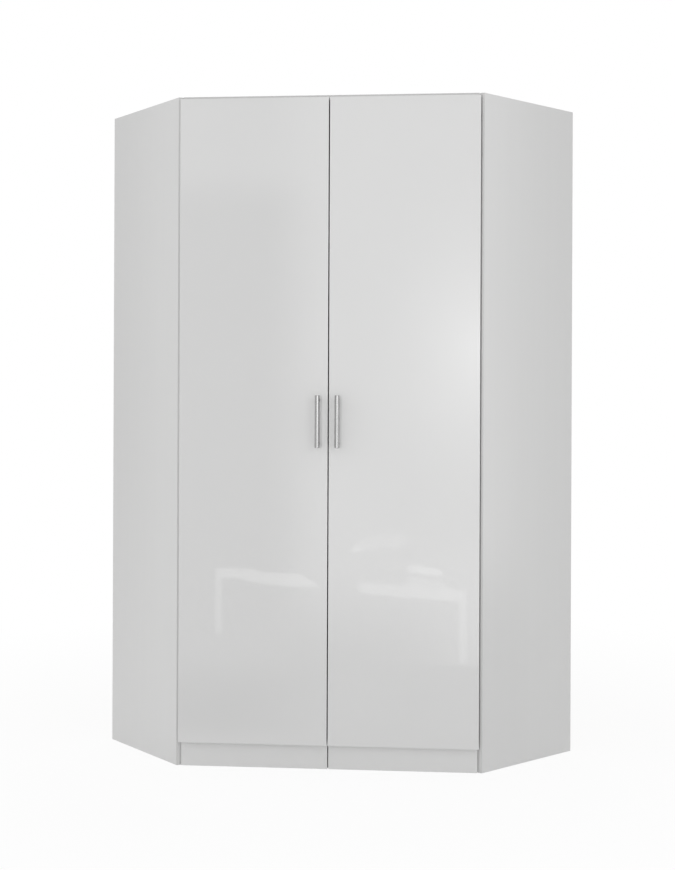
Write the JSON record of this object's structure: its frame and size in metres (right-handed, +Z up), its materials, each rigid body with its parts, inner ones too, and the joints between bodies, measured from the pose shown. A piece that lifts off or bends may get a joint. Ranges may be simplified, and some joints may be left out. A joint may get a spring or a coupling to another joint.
{
  "type": "corner wardrobe",
  "caption": "Five-sided wardrobe for a room corner, with hinged full-height doors across its front and a hat shelf and clothes rail inside.",
  "frame": {"origin": "centre of the bounding box on the floor", "axes": "+Z up, the doors face -Y, the rear corner points to +Y, X runs along the front"},
  "size_m": [1.4424, 1.0468, 1.97],
  "materials": {
    "board": "white melamine board, matt",
    "door": "white board, high gloss",
    "back_sheet": "thin hardboard, white on its inner side",
    "batten": "planed softwood",
    "plastic": "white moulded plastic",
    "plated_steel": "nickel plated",
    "handle": "brushed"
  },
  "bodies": {
    "carcass": {"side_panel_left": "board", "side_panel_right": "board", "top_panel": "board", "bottom_panel": "board", "hat_shelf": "board", "plinth_left": "board", "plinth_right": "board", "plinth_foot": "plastic", "rear_corner_post": "batten", "shelf_rear_cleat": "batten", "back_sheet_left_inner": "back_sheet", "back_sheet_left_outer": "back_sheet", "back_sheet_right_inner": "back_sheet", "back_sheet_right_outer": "back_sheet", "back_joint_strip_left": "plastic", "back_joint_strip_right": "plastic", "shelf_peg_left_1": "plated_steel", "shelf_peg_left_2": "plated_steel", "shelf_peg_right_1": "plated_steel", "shelf_peg_right_2": "plated_steel", "clothes_rail": "plated_steel", "rail_bracket_left": "plastic", "rail_bracket_middle": "plastic", "rail_bracket_right": "plastic", "hinge_arm_left_1": "plated_steel", "hinge_plate_left_1": "plated_steel", "hinge_arm_left_2": "plated_steel", "hinge_plate_left_2": "plated_steel", "hinge_arm_left_3": "plated_steel", "hinge_plate_left_3": "plated_steel", "hinge_arm_left_4": "plated_steel", "hinge_plate_left_4": "plated_steel", "hinge_arm_right_1": "plated_steel", "hinge_plate_right_1": "plated_steel", "hinge_arm_right_2": "plated_steel", "hinge_plate_right_2": "plated_steel", "hinge_arm_right_3": "plated_steel", "hinge_plate_right_3": "plated_steel", "hinge_arm_right_4": "plated_steel", "hinge_plate_right_4": "plated_steel"},
    "left_door": {"door_left": "door", "handle_bar_left": "handle", "handle_post_left_lower": "handle", "handle_post_left_upper": "handle", "handle_screw_left_lower": "plated_steel", "handle_screw_left_upper": "plated_steel", "hinge_cup_left_1": "plated_steel", "hinge_cup_left_2": "plated_steel", "hinge_cup_left_3": "plated_steel", "hinge_cup_left_4": "plated_steel"},
    "right_door": {"door_right": "door", "handle_bar_right": "handle", "handle_post_right_lower": "handle", "handle_post_right_upper": "handle", "handle_screw_right_lower": "plated_steel", "handle_screw_right_upper": "plated_steel", "hinge_cup_right_1": "plated_steel", "hinge_cup_right_2": "plated_steel", "hinge_cup_right_3": "plated_steel", "hinge_cup_right_4": "plated_steel"}
  },
  "joints": [
    {"name": "left_door_hinge", "type": "hinge", "parent": "carcass", "child": "left_door", "pos_m": [-0.43234, -0.48139, 1], "axis": [0, 0, -1], "range_deg": [0, 95]},
    {"name": "right_door_hinge", "type": "hinge", "parent": "carcass", "child": "right_door", "pos_m": [0.43234, -0.48139, 1], "axis": [0, 0, 1], "range_deg": [0, 95]}
  ]
}
